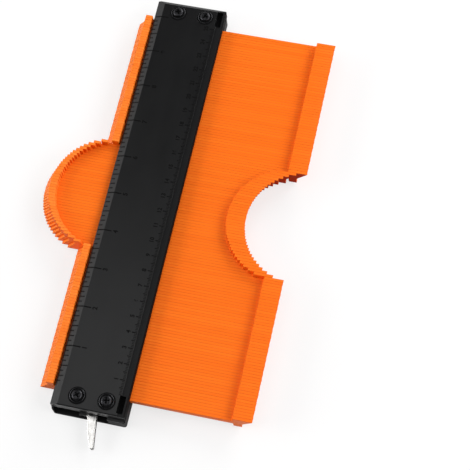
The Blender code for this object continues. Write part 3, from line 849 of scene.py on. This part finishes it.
def lever_outline():
    """Hub with its growing cam, then the tapered arm, turned to its place at rest about the pivot."""
    first = math.radians(75)
    last = math.pi - LEVER_REST_ANGLE + CAM_SWING
    steps = 44
    points = []
    for step in range(steps + 1):
        angle = first + (last - first) * step / steps
        turn = (angle - math.pi + LEVER_REST_ANGLE) / CAM_SWING
        radius = CAM_BASE_RADIUS + CAM_RISE * min(max(turn, 0.0), 1.0)
        points.append(Vector((radius * math.cos(angle), radius * math.sin(angle))))
    arm = [
        (0.9, -5.9, 0.3),
        (1.8, -3.0, 1.4),
        (14.0, -2.6, 8.0),
        (18.8, -1.8, 4.0),
        (21.6, -1.3, 1.1),
        (22.1, -0.2, 0.9),
        (21.7, 0.8, 1.0),
        (9.2, 2.1, 8.0),
    ]
    before, after = points[-1], points[0]
    curved = rounded([(before.x, before.y, 0.0)] + arm + [(after.x, after.y, 0.0)], 5)
    points += curved[1:-1]
    turn_to_rest = Matrix.Rotation(LEVER_REST_ANGLE, 2)
    return [(turn_to_rest @ point + Vector(PIVOT)) * MM for point in points]


def make_lever():
    """The stamped lever with its bore. Its faces are plated, its edges sheared and duller."""
    shape = slab(lever_outline(), LEVER_BOTTOM * MM, LEVER_TOP * MM, LEVER_EDGE * MM, lying, 3)
    mesh = to_mesh("lever_stamping", shape)
    lever = add("lever_stamping", mesh, LEVER_METAL, "lever")
    above = LEVER_TOP + 1
    below = LEVER_BOTTOM - 1
    hole = [(0, above), (PIVOT_BORE, above), (PIVOT_BORE, below), (0, below)]
    cut(lever, [turned(hole, PIVOT[0], PIVOT[1], 40)])
    shade(lever.data, 35)
    lever.data.materials.append(SHEARED_METAL)
    for face in lever.data.polygons:
        face.material_index = 1 if abs(face.normal.z) < 0.6 else 0
    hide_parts("lock_lever")


def finish_front(shell):
    """Painted shade on the side walls, a duller finish on the sunk step, and painted shade on the
    unpolished walls in the step's pockets.
    """
    for mat in (STEP_BLACK, DULL_SHADE_BLACK, INK_AND_WALL_SHADE):
        shell.data.materials.append(mat)
    step, dull_shade, wall_shade = 1, 2, 3
    for face in shell.data.polygons:
        x, y, z = face.center / MM
        # painted shade: the side walls and their rounded edges take the black ink
        if abs(face.normal.y) > 0.5 and abs(y) > HALF_WIDTH - 0.8:
            face.material_index = wall_shade
            continue
        if z < CHANNEL_ROOF + 1 or y < STEP_EDGE - 1.2:
            continue
        in_pocket = any(low - 0.3 < x < high + 0.3 for low, high in POCKETS) and y < STEP_EDGE + 3.0
        # painted shade: the pockets' lower walls take the dull black
        if in_pocket and z < TOP - 1.1:
            face.material_index = dull_shade
        elif y > STEP_EDGE and z < TOP - 0.3:
            face.material_index = step


def nose_cover():
    """A small lip in front of the shell, over the place where the cam's nose would show in its slot."""
    corners = [(137.6, -5.2, 0.1), (139.6, -5.2, 0.4), (139.6, -1.1, 0.4), (137.6, -1.1, 0.1)]
    points = [p * MM for p in rounded(corners)]
    return slab(points, COVER_BOTTOM * MM, COVER_TOP * MM, COVER_EDGE * MM, lying, 2)


def make_spring():
    """The return coil, a copy of the CAD node with a mesh of its own, which rides the lock slide."""
    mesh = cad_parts["return_spring"].data.copy()
    spring = add("return_coil", mesh, INNER_METAL, "lock_slide")
    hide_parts("return_spring")
    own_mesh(spring)


# assemble the object
make_fins()
front = broken_edges(
    "front_shell", "front_shell_moulding", FRONT_EDGE, BLACK, "case"
)
finish_front(front)
join(front, nose_cover())
broken_edges("rear_shell", "rear_shell_moulding", REAR_EDGE, REAR_BLACK, "case")
make_lever()
make_spring()
make_inch_scale()
make_cm_scale()
make_numbers()
for number in range(1, 5):
    make_washer(number)
    make_screw(number)

for node_name, mat in (
    ("lever_pivot_pin", INNER_METAL),
    ("lock_bar", INNER_METAL),
    ("clamp_plate", GREY),
    ("clamp_pad", RUBBER),
    ("front_pad", RUBBER),
):
    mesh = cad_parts[node_name].data
    mesh.materials.clear()
    mesh.materials.append(mat)


# stage, lights, camera
def make_floor():
    """A pale floor, a little brighter to the camera than in the light that it throws back."""
    mesh = bpy.data.meshes.new("floor")
    corners = [(-1, -1), (1, -1), (1, 1), (-1, 1)]
    verts = [(x * FLOOR_SIZE, y * FLOOR_SIZE, FLOOR_LEVEL) for x, y in corners]
    mesh.from_pydata(verts, [], [(0, 1, 2, 3)])
    floor = new_object("floor", mesh)
    mat, tree, shader = new_material("pale_floor")
    path = node(tree, "ShaderNodeLightPath")
    tone = node(tree, "ShaderNodeMix", data_type="RGBA")
    tone.inputs[6].default_value = grey(FLOOR_SEEN)
    tone.inputs[7].default_value = grey(FLOOR_BOUNCE)
    link(tree, path, "Is Diffuse Ray", tone, "Factor")
    tree.links.new(tone.outputs[2], shader.inputs["Base Color"])
    shader.inputs["Roughness"].default_value = 0.9
    shader.inputs["Specular IOR Level"].default_value = 0.0
    glow = node(tree, "ShaderNodeEmission")
    glow.inputs["Strength"].default_value = 1.0
    seen = node(tree, "ShaderNodeMath", operation="MULTIPLY")
    seen.inputs[1].default_value = FLOOR_GLOW
    link(tree, path, "Is Camera Ray", seen, 0)
    mix = node(tree, "ShaderNodeMixShader")
    link(tree, seen, "Value", mix, "Fac")
    link(tree, shader, "BSDF", mix, 1)
    link(tree, glow, "Emission", mix, 2)
    link(tree, mix, "Shader", tree.nodes["Material Output"], "Surface")
    mesh.materials.append(mat)


def area_light(name, place, target, size, size_y, power):
    """A rectangular lamp that shines from its place at a target."""
    lamp = bpy.data.lights.new(name, "AREA")
    lamp.shape = "RECTANGLE"
    lamp.size = size
    lamp.size_y = size_y
    lamp.energy = power
    made = new_object(name, lamp)
    made.location = place
    made.rotation_euler = (Vector(target) - Vector(place)).to_track_quat("-Z", "Y").to_euler()


make_floor()
for lamp in LAMPS:
    area_light(*lamp)
world = bpy.data.worlds.new("studio")
bpy.context.scene.world = world
world.use_nodes = True
background = world.node_tree.nodes["Background"]
background.inputs["Color"].default_value = grey(1.0)
background.inputs["Strength"].default_value = WORLD_STRENGTH

camera = bpy.data.cameras.new("camera")
camera.sensor_fit = "HORIZONTAL"
camera.angle = math.radians(CAMERA_ANGLE)
camera_object = new_object("camera", camera)
camera_object.location = CAMERA_PLACE
camera_object.rotation_euler = [math.radians(turn) for turn in CAMERA_TURN]
bpy.context.scene.camera = camera_object
bpy.context.scene.view_settings.view_transform = "Standard"
